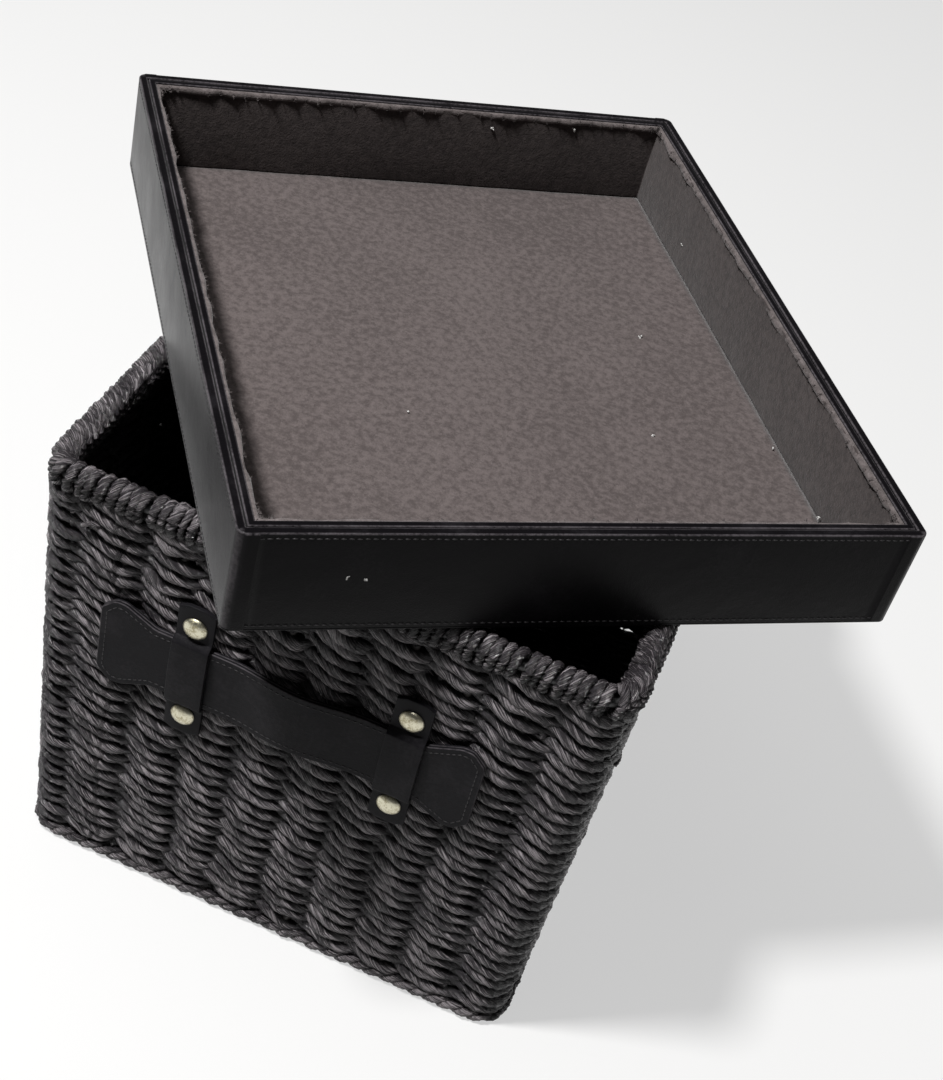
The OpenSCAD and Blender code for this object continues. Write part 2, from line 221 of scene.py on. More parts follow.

# %% [markdown]
# Twisted paper cord is kraft paper spun into a ply and dyed. Fine creases run round it with the
# twist, and the dye is uneven. A pale grey where creases and patches peak, more on the outermost
# strands and over all of the rim, is partly rubbed cord and partly a painted highlight on the crests.
# The inner side of the wall is painted near black, as shade. The creases must follow each strand, so
# they read an attribute that every sweep leaves on its points: the distance along the strand and the
# direction round it. Noise stretched along that gives creases with no seam.

# %% Paper cord finish
def paper_cord(name, light, gloss, rim=False):
    f = Finish(name, **{"Specular IOR Level": 0.5})
    lay = f.node("ShaderNodeAttribute", {"attribute_name": "lay"}).out("Vector")
    stretched = f.node("ShaderNodeMapping", None, {"Vector": lay, "Scale": (75, 4.2, 4.2)})
    creases = f.speckle(stretched, 1.0, 5, 0.66)
    here = f.place()
    patches = f.speckle(here, 80, 3)
    fibres = f.speckle(here, 1100, 2)
    reach = f.reach_from_basket(here)
    # Mask of the wall's inner side, for painted shade. It mixes in a near-black colour below, for the shade
    # inside the basket, and makes the cord rougher there. The rim has none.
    inside = 0 * reach if rim else 1 - f.between(reach, 0.966, 0.996)
    outermost = 0.55 if rim else f.between(reach, 1.008, 1.036)
    # The pale colour light is partly rubbed cord and partly a painted highlight. It comes in where creases
    # and patches peak, more where the wall stands furthest out, and evenly more on the rim.
    rub_and_painted_highlight = f.between(creases * 0.76 + patches * 0.24 + outermost * 0.1, 0.55, 0.69)
    black = f.mix(patches, (0.013, 0.0112, 0.0135), (0.042, 0.0365, 0.0405))
    colour = f.mix(rub_and_painted_highlight, black, light)
    # Painted shade on the inner side of the wall.
    colour = f.mix(inside, colour, (0.005, 0.0045, 0.005))
    bump = f.relief(creases, 0.0015, 1.0)
    bump = f.relief(fibres, 0.0002, 0.5, bump)
    return f.done(Base_Color=colour, Roughness=gloss + 0.22 * patches + 0.35 * inside, Normal=bump)


# Their pale colour is rubbed cord and painted highlight together.
WEAVE_CORD = paper_cord("paper cord", (0.36, 0.326, 0.339), 0.13)
RIM_CORD = paper_cord("rim cord", (0.36, 0.326, 0.339), 0.06, rim=True)
print("finishes:", WEAVE_CORD.name, RIM_CORD.name)

# %% [markdown]
# Each strand of the weave is one long cord, so it is made as a curve with a bevel profile: the
# curve is the cord's middle line, the profile its cross-section, a circle with a soft lobe for
# each ply. A tilt that grows along the curve turns it, which makes the cord's twist from geometry,
# and the radius of each point makes it thick or thin. Several strands share one curve object.

# %% Meshes into pieces
def add_piece(name, mesh, body):
    """Puts a finished mesh in the scene and hangs it on its body."""
    mesh.name = name
    piece = bpy.data.objects.new(name, mesh)
    show(piece)
    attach(piece, body)
    return piece


def as_mesh(bm, name):
    mesh = bpy.data.meshes.new(name)
    bm.to_mesh(mesh)
    bm.free()
    return mesh


def as_piece(bm, name, finish, body, frame_of=None, smooth=True):
    """Makes a piece with one finish; frame_of takes its millimetres to its place."""
    mesh = as_mesh(bm, name)
    if frame_of is not None:
        mesh.transform(frame_of)
    mesh.materials.append(finish)
    if smooth:
        mesh.shade_smooth()
    return add_piece(name, mesh, body)


def new_verts(made):
    """The points among what an operator made."""
    return [g for g in made["geom"] if isinstance(g, bmesh.types.BMVert)]


# %% Sweep cords along their paths
def lobed_outline(name, radius, lobes, depth, sides):
    """The cross-section of a twisted cord: a closed flat curve."""
    curve = bpy.data.curves.new(name, "CURVE")
    curve.dimensions = "2D"
    spline = curve.splines.new("POLY")
    spline.points.add(sides - 1)
    for i, point in enumerate(spline.points):
        angle = 2 * math.pi * i / sides
        r = radius * (1 + depth * math.cos(lobes * angle))
        point.co = (r * math.cos(angle), r * math.sin(angle), 0, 1)
    spline.use_cyclic_u = True
    profile = bpy.data.objects.new(name, curve)
    show(profile)
    return profile


def sweep(name, runs, radius, lay_length, finish, lobes=2, depth=0.1, sides=8, closed=True):
    """One piece of the basket from many cords: each run is a cord's points in millimetres and girths."""
    profile = lobed_outline("outline of " + name, radius, lobes, depth, sides)
    curve = bpy.data.curves.new(name, "CURVE")
    curve.dimensions = "3D"
    curve.bevel_mode = "OBJECT"
    curve.bevel_object = profile
    curve.twist_mode = "Z_UP"
    curve.use_fill_caps = not closed
    lays = []
    for points, girths in runs:
        steps = np.linalg.norm(np.diff(points, axis=0), axis=1)
        along = np.concatenate([[0], np.cumsum(steps)])
        total = along[-1] + np.linalg.norm(points[0] - points[-1])
        turns = round(total / lay_length) / total if closed else 1 / lay_length
        start = chance.uniform(0, 2 * math.pi)
        spline = curve.splines.new("POLY")
        spline.points.add(len(points) - 1)
        spline.points.foreach_set("co", np.c_[points, np.ones(len(points))].ravel())
        spline.points.foreach_set("radius", girths)
        spline.points.foreach_set("tilt", start + 2 * math.pi * turns * along)
        spline.use_cyclic_u = closed
        lays.append(along + chance.uniform(0, 900))
    piece = bpy.data.objects.new(name, curve)
    show(piece)
    mesh = bpy.data.meshes.new_from_object(piece.evaluated_get(bpy.context.evaluated_depsgraph_get()))
    for old in (piece, profile):
        bpy.data.curves.remove(old.data)
    note_the_lay(mesh, np.concatenate(lays), sides)
    mesh.transform(Matrix.Scale(MM, 4))
    mesh.materials.clear()
    mesh.materials.append(finish)
    mesh.shade_smooth()
    return add_piece(name, mesh, "basket")


def note_the_lay(mesh, along, sides):
    """Leaves on each point how far along its cord it is, in metres, and its direction round it."""
    angles = 2 * math.pi * np.arange(sides) / sides
    lay = np.zeros((len(mesh.vertices), 3), dtype=np.float32)
    around = np.tile(np.c_[np.cos(angles), np.sin(angles)], (len(along), 1))
    lay[:len(around)] = np.c_[np.repeat(along * MM, sides), around]
    attribute = mesh.attributes.new("lay", "FLOAT_VECTOR", "POINT")
    attribute.data.foreach_set("vector", lay.ravel())


def set_down(bm, one, places):
    """Adds a copy of a small mesh at each place, a matrix."""
    at_rest = np.empty(len(one.vertices) * 3, dtype=np.float32)
    one.vertices.foreach_get("co", at_rest)
    for place in places:
        one.transform(place)
        bm.from_mesh(one)
        one.vertices.foreach_set("co", at_rest)
    bpy.data.meshes.remove(one)


def small_shape(make, **values):
    """A mesh made by one of bmesh's create operators."""
    bm = bmesh.new()
    make(bm, **values)
    return as_mesh(bm, "small shape")


def tell(*pieces):
    """Prints what was made and in how many triangles."""
    for piece in pieces:
        print(piece.name, sum(len(f.vertices) - 2 for f in piece.data.polygons))


print("sweeps ready")

# %% [markdown]
# The walls are twined: two strands go round the basket together, one outside a stake while the
# other is inside it, and they change places in each gap. So every row shows one slanting length of
# cord per stake, and because each row starts over the same stakes, the lengths stand in columns.
# Each comes out over the end of its neighbour, drops, and dives under the next. The path below is
# that motion in numbers: a flattened cosine in and out, another from high to low, and a little
# wandering so that no two lengths are alike. The real wall is packed tight; here a filler cord runs
# deep in the wall between each two rows and narrows the gaps.

# %% Where the stakes stand along the wall
MID_W, MID_D, MID_R = BASE_W - WALL_T, BASE_D - WALL_T, CORNER_R - WALL_T / 2


def round_outline(s, w, d, r):
    """Points on a rectangle with round corners, and the directions out of it.

    s is the distance from the middle of the front, to the right and round."""
    a, b, bend = w / 2 - r, d / 2 - r, r * math.pi / 2
    s = np.asarray(s) % (4 * (a + b) + 4 * bend)
    points, outward = np.zeros((len(s), 2)), np.zeros((len(s), 2))
    here, heading, start = np.array([0.0, -d / 2]), 0.0, 0.0
    for span, turning in zip((a, bend, 2 * b, bend, 2 * a, bend, 2 * b, bend, a), (0, 1) * 4 + (0,)):
        t = s - start
        on_it = (t >= 0) & (t <= span)
        if turning:
            centre = here + r * np.array([-math.sin(heading), math.cos(heading)])
            angle = heading - math.pi / 2 + t / r
            out = np.c_[np.cos(angle), np.sin(angle)]
            spot = centre + r * out
            heading += math.pi / 2
            here = centre + r * np.array([math.sin(heading), -math.cos(heading)])
        else:
            along = np.array([math.cos(heading), math.sin(heading)])
            out = np.tile([along[1], -along[0]], (len(s), 1))
            spot = here + t[:, None] * along
            here = here + span * along
        points[on_it], outward[on_it] = spot[on_it], out[on_it]
        start += span
    return points, outward


def upright_marks():
    """Distances round the foot of the walls to each stake and corner post, in order."""
    a, b, bend = MID_W / 2 - MID_R, MID_D / 2 - MID_R, MID_R * math.pi / 2
    quarter = a + bend + b
    marks = []
    for side in range(4):
        half, count = ((a, STAKES_SHORT), (b, STAKES_LONG))[side % 2]
        marks += [side * quarter + (i - (count - 1) / 2) * STAKE_PITCH for i in range(count)]
        marks.append(side * quarter + half + bend / 2)
    return np.array(marks), 4 * quarter


MARKS, ROUND_LENGTH = upright_marks()
UPRIGHTS = len(MARKS)
print(UPRIGHTS, "uprights on", round(ROUND_LENGTH), "mm")


# %% Wandering values that close on themselves
def wander(t, knots, amount):
    """A smooth random value along t, which runs from 0 to UPRIGHTS and closes."""
    values = chance.normal(0, amount, knots)
    place = t / UPRIGHTS * knots
    low = np.floor(place).astype(int)
    share = place - low
    share = share * share * (3 - 2 * share)
    return values[low % knots] * (1 - share) + values[(low + 1) % knots] * share


# %% Weave the walls
ROWS, PER_PITCH, PER_PIECE = 31, 12, 8
ROW_PITCH = WALL_H / ROWS
STRAND_R, FILLER_R = 2.75, 3.2
DROP, ABOVE_ROW = 2.65, 0.4
REACH_OUT, REACH_IN = 2.6, 1.8
UNEVEN_TOP, UNEVEN_FOOT, UNEVENNESS = 5, 2, 1.3
T = np.arange(UPRIGHTS * PER_PITCH) / PER_PITCH


def along_wall(t):
    """The distance round the wall of a place that is counted in uprights."""
    return np.interp(t, np.arange(UPRIGHTS + 1), np.append(MARKS, MARKS[0] + ROUND_LENGTH))


def twined_strand(row, member, drift):
    """One strand of a row: member 0 passes outside the even uprights, member 1 the odd ones.

    Phase 0 is where the strand stands furthest out. It comes out high and thick before that,
    drops, runs level, and dives thin under the head of the other strand."""
    phase = math.pi * (T + member)
    lively = 1.0 + UNEVENNESS * float(row < UNEVEN_FOOT or row >= ROWS - UNEVEN_TOP)
    s = along_wall(T) + drift["sideways"] + wander(T, 80, 0.9 * lively)
    rise = ABOVE_ROW - (DROP + wander(T, 40, 0.35)) * np.tanh(1.6 * np.cos(phase - 0.6))
    z = WALL_FOOT + (row + 0.5) * ROW_PITCH + rise
    z = z + drift["up"] + wander(T, 40, 0.35 * lively) + wander(T, 130, 0.22 * lively)
    girth = 0.95 + 0.17 * np.cos(phase + 0.75) + 0.09 * np.cos(2 * phase + 0.9)
    girth = girth * (1 + wander(T, 40, 0.08) + wander(T, 170, 0.05))
    wide = flare_at(z)
    out = np.tanh(1.45 * np.cos(phase + 0.38)) * 1.08
    out = np.where(out > 0, REACH_OUT, REACH_IN) * out + wander(T, 60, 0.3) + wander(T, 160, 0.15)
    limit = WALL_T / 2 * wide - STRAND_R * girth - 0.05
    out = np.clip(out, -limit, limit)
    z = np.clip(z, WALL_FOOT - 1, WALL_TOP + 1)
    middle, outward = round_outline(s, MID_W, MID_D, MID_R)
    flat = middle * wide[:, None] + outward * out[:, None]
    return np.c_[flat, z], girth


def filler_cord(row, drift, next_drift):
    """A cord that runs straight between a row and the next, in the middle of the wall."""
    t = T[::3]
    z = WALL_FOOT + (row + 1) * ROW_PITCH + ABOVE_ROW + ((drift + next_drift) / 2)[::3]
    z = np.clip(z, WALL_FOOT, WALL_TOP)
    middle, outward = round_outline(along_wall(t), MID_W, MID_D, MID_R)
    flat = middle * flare_at(z)[:, None] + outward * (0.5 * np.cos(2 * math.pi * t))[:, None]
    return np.c_[flat, z], np.ones(len(t))


up, sideways = wander(T, 26, 0.5), wander(T, 34, 1.1)
strands, fillers, last_up = [], [], up
for row in range(ROWS):
    up = 0.8 * up + wander(T, 26, 0.35)
    sideways = 0.85 * sideways + wander(T, 34, 0.8)
    strands += [twined_strand(row, member, {"up": up, "sideways": sideways}) for member in (0, 1)]
    fillers.append(filler_cord(row - 1, last_up, up))
    last_up = up
for part in range(math.ceil(len(strands) / PER_PIECE)):
    held = strands[part * PER_PIECE : (part + 1) * PER_PIECE]
    piece = sweep(f"weave_rows_{part + 1}", held, STRAND_R, 36, WEAVE_CORD, lobes=3, sides=12)
    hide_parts("woven_walls")
    tell(piece)
tell(sweep("weave_filler_cords", fillers, FILLER_R, 14, WEAVE_CORD))

# %% [markdown]
# The weaver tucks each end of a cord between two uprights, and some ends stand out a little. They
# are short open sweeps that start inside the wall and bend along it.

# %% Loose ends in the walls
END_TRIES, END_R, CORNER_CLEAR = 26, 1.5, 22
STRAP_CLEAR, STRAP_LOW, STRAP_HIGH = 116, 100, 215


def loose_ends():
    """Short cords at random places, apart from the straps' places and the corners."""
    for i in range(END_TRIES):
        s = chance.uniform(0, ROUND_LENGTH)
        z = chance.uniform(20, 222) if i % 3 else chance.uniform(205, 226)
        middle, outward = round_outline(np.array([s]), MID_W, MID_D, MID_R)
        x, y = abs(middle[0])
        on_strap = x < STRAP_CLEAR and abs(outward[0][1]) > 0.9 and STRAP_LOW < z < STRAP_HIGH
        near_corner = x > MID_W / 2 - CORNER_CLEAR and y > MID_D / 2 - CORNER_CLEAR
        if on_strap or near_corner:
            continue
        along = np.array([-outward[0][1], outward[0][0]])
        steps = np.linspace(0, 1, 8)
        long, way = chance.uniform(5, 11), chance.choice((-1, 1))
        off = WALL_T / 2 - 2 + 1.9 * np.sin(steps * 2.2)
        flat = middle[0] * flare_at(z) + outward[0] * off[:, None] + along * (way * long * steps)[:, None]
        up = z - chance.uniform(1, 4) * steps + 1.2 * np.sin(steps * 3)
        yield np.c_[flat, up], np.linspace(1, 0.7, 8)


ends = sweep("weave_loose_ends", list(loose_ends()), END_R, 14, WEAVE_CORD, closed=False)
tell(ends)

# %% [markdown]
# The rim is whipped: after the last row a cord is wound round a wire and the top of the wall, turn
# beside turn, so it looks like a fat roll of knuckles. A whipping is a helix round the rim itself.
# Its cross-section is taller than wide, because each turn dives into the wall under the
# last row. The cord here is twisted harder, so its plies show as bulges.

# %% Whip the rim
RIM_W, RIM_D, RIM_R = MID_W * FLARE, MID_D * FLARE, MID_R * FLARE
WHIP_R, WHIP_PITCH, PER_TURN = 2.5, 4.9, 16
HALF_WIDE, HALF_TALL = 4.4, 6.2


def whipping():
    a, b, bend = RIM_W / 2 - RIM_R, RIM_D / 2 - RIM_R, RIM_R * math.pi / 2
    length = 4 * (a + b + bend)
    turns = round(length / WHIP_PITCH)
    t = np.arange(turns * PER_TURN) / PER_TURN
    angle, place = 2 * math.pi * t, t * UPRIGHTS / turns
    uneven = wander(place, turns, 0.6)
    middle, outward = round_outline(t * length / turns + uneven, RIM_W, RIM_D, RIM_R)
    girth = 1 + wander(place, turns * 2, 0.09)
    width = HALF_WIDE + wander(place, turns, 0.3)
    flat = middle + outward * (width * np.cos(angle))[:, None]
    z = BASKET_H - WHIP_R - HALF_TALL + HALF_TALL * np.sin(angle) - 0.2 + np.minimum(uneven, 0) * 0.5
    return np.c_[flat, z], girth


whip = sweep("rim_whipping", [whipping()], WHIP_R, 17, RIM_CORD, depth=0.12, sides=12)
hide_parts("rim_wrap")
tell(whip)

# %% [markdown]
# The foot of the walls ends in a border of three cords twisted round each other, which hides the
# ends of the stakes. Three helices with a third of a turn between them make such a rope.

# %% Twist the border at the foot
BORDER_H, BORDER_PITCH, PLY_R = 8, 24, 2.25
PLY_OUT, PLY_UP = 2.1, 1.75


def border_strands():
    w, d, r = BASE_W - 7, BASE_D - 7, CORNER_R - 3.5
    length = 4 * ((w + d) / 2 - 2 * r + r * math.pi / 2)
    turns, steps = round(length / BORDER_PITCH), 12
    t = np.arange(turns * steps) / steps
    place = t * UPRIGHTS / turns
    for third in range(3):
        angle = 2 * math.pi * (t + third / 3)
        uneven = wander(place, turns * 2, 0.15)
        middle, outward = round_outline(t * length / turns, w, d, r)
        flat = middle + outward * ((PLY_OUT + uneven) * np.cos(angle))[:, None]
        z = BORDER_H / 2 + PLY_UP * np.sin(angle)
        yield np.c_[flat, z], 1 + wander(place, turns * 2, 0.05)


border = sweep("twisted_border", list(border_strands()), PLY_R, 20, WEAVE_CORD)
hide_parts("base_border")
tell(border)

# %% [markdown]
# The base is woven on rods that run from front to back. It is seen only from below and deep inside,
# so its rows are plain weaving with fewer points, cut to the round corners of the base.

# %% Weave the base
FLOOR_W, FLOOR_D, FLOOR_R = BASE_W - 15, BASE_D - 15, CORNER_R - 7.5
FLOOR_ROWS, FLOOR_CORD_R = 54, 2.5


def base_strands():
    for row in range(FLOOR_ROWS):
        y = (row + 0.5) / FLOOR_ROWS * FLOOR_D - FLOOR_D / 2
        past = max(0, abs(y) - (FLOOR_D / 2 - FLOOR_R))
        half = FLOOR_W / 2 - FLOOR_R + math.sqrt(max(FLOOR_R**2 - past**2, 1))
        x = np.linspace(-half, half, round(half / 1.6))
        for member in (0, 1):
            phase = math.pi * (x / STAKE_PITCH + 0.5 + row + member)
            z = BORDER_H / 2 + 1.6 * np.cos(phase)
            sway = y + 0.6 * np.sin(phase) + 0.25 * np.sin(x / 9 + row)
            yield np.c_[x, sway, z], 1 + 0.05 * np.sin(x / 5 + 2 * row)


base = sweep("woven_floor", list(base_strands()), FLOOR_CORD_R, 30, WEAVE_CORD, closed=False)
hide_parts("woven_base")
tell(base)

# %% [markdown]
# Black leather covers the lid, the straps and the keepers. It has a grain of small cells, and soft
# marks where it was stretched over the board. The grain is a Voronoi texture used only as relief;
# the marks change the roughness, which is what the eye sees on black. Rounded edges that the pieces
# mark get a paler colour, which is partly wear and partly a painted highlight.

# %% Leather finishes
def black_leather(name, grain, gloss, sheen, colour, rub):
    f = Finish(name, **{"Specular IOR Level": 0.06, "Sheen Weight": sheen, "Sheen Roughness": 0.35})
    here = f.place()
    cells = f.node("ShaderNodeTexVoronoi", {"feature": "DISTANCE_TO_EDGE"},
                   {"Vector": here, "Scale": grain})
    marks = f.speckle(here, 38, 4)
    fine = f.speckle(here, grain * 0.6, 3)
    worn = f.between(marks * 0.7 + fine * 0.3, 0.5, 0.7)
    shade = f.mix(worn, colour, rub)
    # Marked edges get a paler colour that is partly worn leather and partly a painted highlight.
    edge = f.node("ShaderNodeAttribute", {"attribute_name": "edge_wear_and_highlight"}).out("Fac")
    edge = edge * f.between(marks * 0.5 + fine * 0.5, 0.3, 0.62)
    shade = f.mix(edge, shade, (0.085, 0.077, 0.083))
    bump = f.relief(cells + fine * 0.4, 0.00025, 0.45)
    bump = f.relief(marks, 0.0015, 0.35, bump)
    return f.done(Base_Color=shade, Roughness=gloss + 0.22 * marks, Normal=bump)


LID_LEATHER = black_leather("lid leather", 1100, 0.22, 0.14,
                            (0.0035, 0.003, 0.0038), (0.011, 0.0098, 0.0115))
STRAP_LEATHER = black_leather("strap leather", 900, 0.3, 0.03,
                              (0.0095, 0.009, 0.0105), (0.021, 0.0195, 0.022))
print("leathers:", LID_LEATHER.name, STRAP_LEATHER.name)

# %% [markdown]
# The lid is a board box covered in leather. Its edge is three bands: the outer lip, a dark groove,
# and the inner lip of the lining boards. Each lip is a closed ring with its own cross-section, so
# it is lofted: the outline of the lid is extruded from each point of the section to the next.

# %% Loft rings round the lid
CORNER_STEPS = 6
NEAR_CORNER = [0, 1.2, 2.4, 3.6, 4.6, 5.0, 5.4, 9]


def side_steps(length, straight, count):
    """Places along one side of the lid: close together at its corners, even between."""
    return NEAR_CORNER + list(np.linspace(15, length - 45, count)) + [straight - n for n in NEAR_CORNER[::-1]]


def lid_loop(inset, z):
    """The lid's outline, inset from its outside, as points at height z."""
    r = max(LID_R - inset, 0.35)
    a, b = LID_W / 2 - inset - r, LID_D / 2 - inset - r
    across, along = side_steps(LID_W, 2 * a, 38), side_steps(LID_D, 2 * b, 44)
    points = []
    corners = ((a, -b, -90), (a, b, 0), (-a, b, 90), (-a, -b, 180))
    sides = (along, across, along, across)
    for (x, y, start), run in zip(corners, sides):
        for i in range(1, CORNER_STEPS):
            angle = math.radians(start + 90 * i / CORNER_STEPS)
            points.append((x + r * math.cos(angle), y + r * math.sin(angle), z))
        turn = math.radians(start + 90)
        out = Vector((math.cos(turn), math.sin(turn), 0))
        ahead = Vector((-out.y, out.x, 0))
        for n in run:
            points.append(Vector((x, y, z)) + out * r + ahead * n)
    return points


def loft(loops):
    """Extrudes the first loop from loop to loop and back to itself, as a closed tube.

    An extrusion copies a point's order in its loop, and that tells it where to go."""
    bm = bmesh.new()
    order = bm.verts.layers.int.new("order")
    verts = [bm.verts.new(p) for p in loops[0]]
    for i, v in enumerate(verts):
        v[order] = i
    ring = [bm.edges.new((verts[i - 1], verts[i])) for i in range(len(verts))]
    for loop in loops[1:] + loops[:1]:
        grown = bmesh.ops.extrude_edge_only(bm, edges=ring)
        ring = [g for g in grown["geom"] if isinstance(g, bmesh.types.BMEdge)]
        for v in new_verts(grown):
            v.co = loop[v[order]]
    bmesh.ops.remove_doubles(bm, verts=bm.verts, dist=0.001)
    bmesh.ops.recalc_face_normals(bm, faces=bm.faces)
    return bm


def rounded(corner_points, r, steps=3):
    """A closed flat section with its corners rounded."""
    section = []
    n = len(corner_points)
    for i in range(n):
        here = Vector(corner_points[i])
        before = Vector(corner_points[i - 1]) - here
        after = Vector(corner_points[(i + 1) % n]) - here
        reach = min(r, before.length / 2.2, after.length / 2.2)
        p0, p2 = here + before.normalized() * reach, here + after.normalized() * reach
        for k in range(steps + 1):
            u = k / steps
            section.append(tuple((1 - u) ** 2 * p0 + 2 * u * (1 - u) * here + u**2 * p2))
    return section


def lid_ring(name, section, finish, nodes, shape=None):
    """One band of the lid; shape moves each point, for folds and unevenness."""
    bm = loft([lid_loop(inset, z) for inset, z in section])
    # The rounded top edge of each band, and its corners more faintly, are marked for the paler edge colour:
    # partly wear, partly a painted highlight.
    edge_wear_and_highlight = bm.verts.layers.float.new("edge_wear_and_highlight")
    top = max(z for _, z in section)
    for v in bm.verts:
        corner = abs(v.co.x) > LID_W / 2 - 2.6 and abs(v.co.y) > LID_D / 2 - 2.6
        v[edge_wear_and_highlight] = 1 if top - 0.76 < v.co.z < top - 0.02 else 0.6 * corner
    if shape:
        for v in bm.verts:
            v.co += shape(v.co)
    bmesh.ops.recalc_face_normals(bm, faces=bm.faces)
    piece = as_piece(bm, name, finish, "lid", LID_FRAME)
    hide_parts(*nodes)
    return piece


IN_LIP, IN_LINER, IN_FACE, IN_SUEDE = 4.1, 4.7, 8.1, 9.5
BOARD_TOP, COVER_T = 3.8, 0.8


def stretched(co):
    """Leather drawn over board is never quite flat; at a corner it is folded over itself."""
    p = co * 0.02
    wave = noise.noise(p) * 0.5 + noise.noise(p * 3.1) * 0.2
    a, b = LID_W / 2 - 10, LID_D / 2 - 10
    out = Vector((co.x - max(min(co.x, a), -a), co.y - max(min(co.y, b), -b), 0))
    on_face = 1 if max(abs(co.x) / LID_W, abs(co.y) / LID_D) > 0.4985 else 0
    along_front = LID_W / 2 - LID_R - abs(co.x)
    fold = 0.55 if on_face and 0 <= along_front <= 5.1 and abs(co.y) > LID_D / 2 - 2 else 0
    return out.normalized() * (fold + wave * 0.25 * on_face) if out.length else Vector()


outer_section = rounded([(0, 1), (0, LID_H), (IN_LIP, LID_H), (IN_LIP, BOARD_TOP),
                         (IN_LIP - COVER_T, BOARD_TOP), (IN_LIP - COVER_T, LID_H - COVER_T),
                         (COVER_T, LID_H - COVER_T), (COVER_T, 1)], 0.9)
lid_outside = lid_ring("lid_leather_outside", outer_section, LID_LEATHER,
                       ["lid_cover_front", "lid_cover_back", "lid_cover_left", "lid_cover_right"], stretched)
inner_section = rounded([(IN_LINER, BOARD_TOP), (IN_LINER, LID_H - 0.2), (IN_FACE, LID_H - 0.2),
                         (IN_FACE, BOARD_TOP), (IN_FACE - COVER_T, BOARD_TOP), (IN_FACE - COVER_T, LID_H - 1),
                         (IN_LINER + COVER_T, LID_H - 1), (IN_LINER + COVER_T, BOARD_TOP)], 0.8)
lid_inside = lid_ring("lid_leather_inner_lip", inner_section, LID_LEATHER,
                      ["lid_liner_cover_front", "lid_liner_cover_back", "lid_liner_cover_left",
                       "lid_liner_cover_right"])
tell(lid_outside, lid_inside)

# %% [markdown]
# The leather is sewn near its edges with black thread. A stitch is a sphere of a few faces, drawn
# long, half sunk in the leather, and set down again and again along a line.

# %% Sew stitches
def black_thread():
    f = Finish("black thread", **{"Specular IOR Level": 0.35})
    twist = f.speckle(f.place(), 1500, 2)
    shade = f.mix(twist, (0.008, 0.0076, 0.0086), (0.032, 0.029, 0.031))
    return f.done(Base_Color=shade, Roughness=0.4 + 0.2 * twist)


THREAD = black_thread()


def sew(name, lines, body, frame_of, pitch=3.2, thick=0.36):
    """Stitches along lines of points in millimetres; each line has the direction out of its face."""
    places = []
    for line, outward in lines:
        for a, b in zip(line, line[1:]):
            a, b = Vector(a), Vector(b)
            count = max(1, round((b - a).length / pitch))
            step = (b - a) / count
            along = step.normalized()
            across = outward.cross(along).normalized()
            for i in range(count):
                turn = Matrix((along, across, outward)).transposed().to_4x4()
                size = Matrix.Diagonal((step.length * 0.41, thick, thick * chance.uniform(0.85, 1.1), 1))
                spot = a + step * (i + 0.5) + across * chance.normal(0, 0.05)
                places.append(frame_of @ Matrix.Translation(spot) @ turn @ size)
    bm = bmesh.new()
    set_down(bm, small_shape(bmesh.ops.create_uvsphere, u_segments=6, v_segments=4, radius=1), places)
    return as_piece(bm, name, THREAD, body)


def lid_seam_lines():
    """Two lines of stitches on each outer side of the lid, one at its foot and one at its lip."""
    a, b = LID_W / 2, LID_D / 2
    for z in (3.2, LID_H - 2.6):
        for way in (-1, 1):
            yield [(5 - a, way * b, z), (a - 5, way * b, z)], Vector((0, way, 0))
        for way in (-1, 1):
            yield [(way * a, 5 - b, z), (way * a, b - 5, z)], Vector((way, 0, 0))


tell(sew("lid_stitches", list(lid_seam_lines()), "lid", LID_FRAME))

# %% [markdown]
# The panel over the lid's top is one flat skin. It is the lid's underside as it lies here, so it
# shows only past the basket, but it closes the box from below.

# %% Cover the lid's top
def lid_panel():
    bm = bmesh.new()
    rim = [bm.verts.new(Vector(p)) for p in lid_loop(0, 0)]
    face = bm.faces.new(rim)
    raised = new_verts(bmesh.ops.extrude_face_region(bm, geom=[face]))
    bmesh.ops.translate(bm, verts=raised, vec=(0, 0, 1.0))
    bmesh.ops.recalc_face_normals(bm, faces=bm.faces)
    low = [e for e in bm.edges if all(v.co.z < 0.1 for v in e.verts)]
    bmesh.ops.bevel(bm, geom=low, offset=0.6, segments=3, profile=0.5, affect="EDGES", material=-1)
    return as_piece(bm, "lid_leather_top", LID_LEATHER, "lid", LID_FRAME, smooth=False)


lid_top = lid_panel()
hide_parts("lid_cover_panel")
tell(lid_top)

# %% [markdown]
# The lining is taupe suede: matt, with a nap that catches light where it was brushed the other way.
# Its colour is a noise at three sizes, from hand-sized smudges down to fibres. The walls of the
# lining use a darker copy of the suede, which paints the shade that falls on them.

# %% Suede finish
def suede(name, deep, mid, pale):
    f = Finish(name, **{"Roughness": 0.95, "Specular IOR Level": 0.1, "Sheen Weight": 0.15,
                        "Sheen Roughness": 0.5})
    here = f.place()
    smudges = f.speckle(here, 14, 3)
    nap = f.speckle(here, 260, 4, 0.7)
    fibres = f.speckle(here, 900, 2, 0.7)
    base = f.mix(f.between(smudges * 0.2 + nap * 0.8, 0.37, 0.63), deep, mid)
    colour = f.mix(f.between(fibres, 0.55, 0.8) * 0.4, base, pale)
    bump = f.relief(fibres + nap, 0.0006, 0.6)
    return f.done(Base_Color=colour, Normal=bump)


SUEDE = suede("taupe suede", (0.071, 0.058, 0.056), (0.122, 0.101, 0.098), (0.185, 0.16, 0.156))
